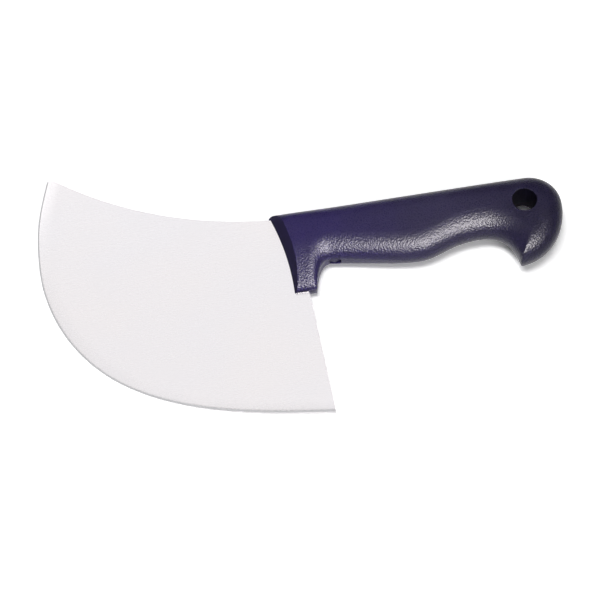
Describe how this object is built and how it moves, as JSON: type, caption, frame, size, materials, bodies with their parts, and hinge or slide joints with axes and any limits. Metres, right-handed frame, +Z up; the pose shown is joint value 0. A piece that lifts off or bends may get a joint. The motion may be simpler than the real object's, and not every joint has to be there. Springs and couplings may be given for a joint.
{
  "type": "pastry knife",
  "caption": "Pastry knife with a wide crescent blade of polished sheet steel and a dark blue moulded handle with finger guard, hooked pommel and hang hole.",
  "frame": {"origin": "centre of the knife's footprint, on the table that it lies on", "axes": "+X along the handle in plan, from the blade towards the pommel; +Y towards the spine of the blade; +Z up from the table. The knife lies on its side as it rests, so the sheet is tilted about 4.6 degrees, with the nose and the cutting edge down."},
  "size_m": [0.2526, 0.144, 0.0253],
  "materials": {
    "blade_steel": "fine satin polish, nearly white under soft light",
    "handle_plastic": "dark blue polypropylene with a fine moulded grain, smooth on the front face"
  },
  "bodies": {
    "root": {"blade": "blade_steel", "handle": "handle_plastic"}
  },
  "joints": []
}
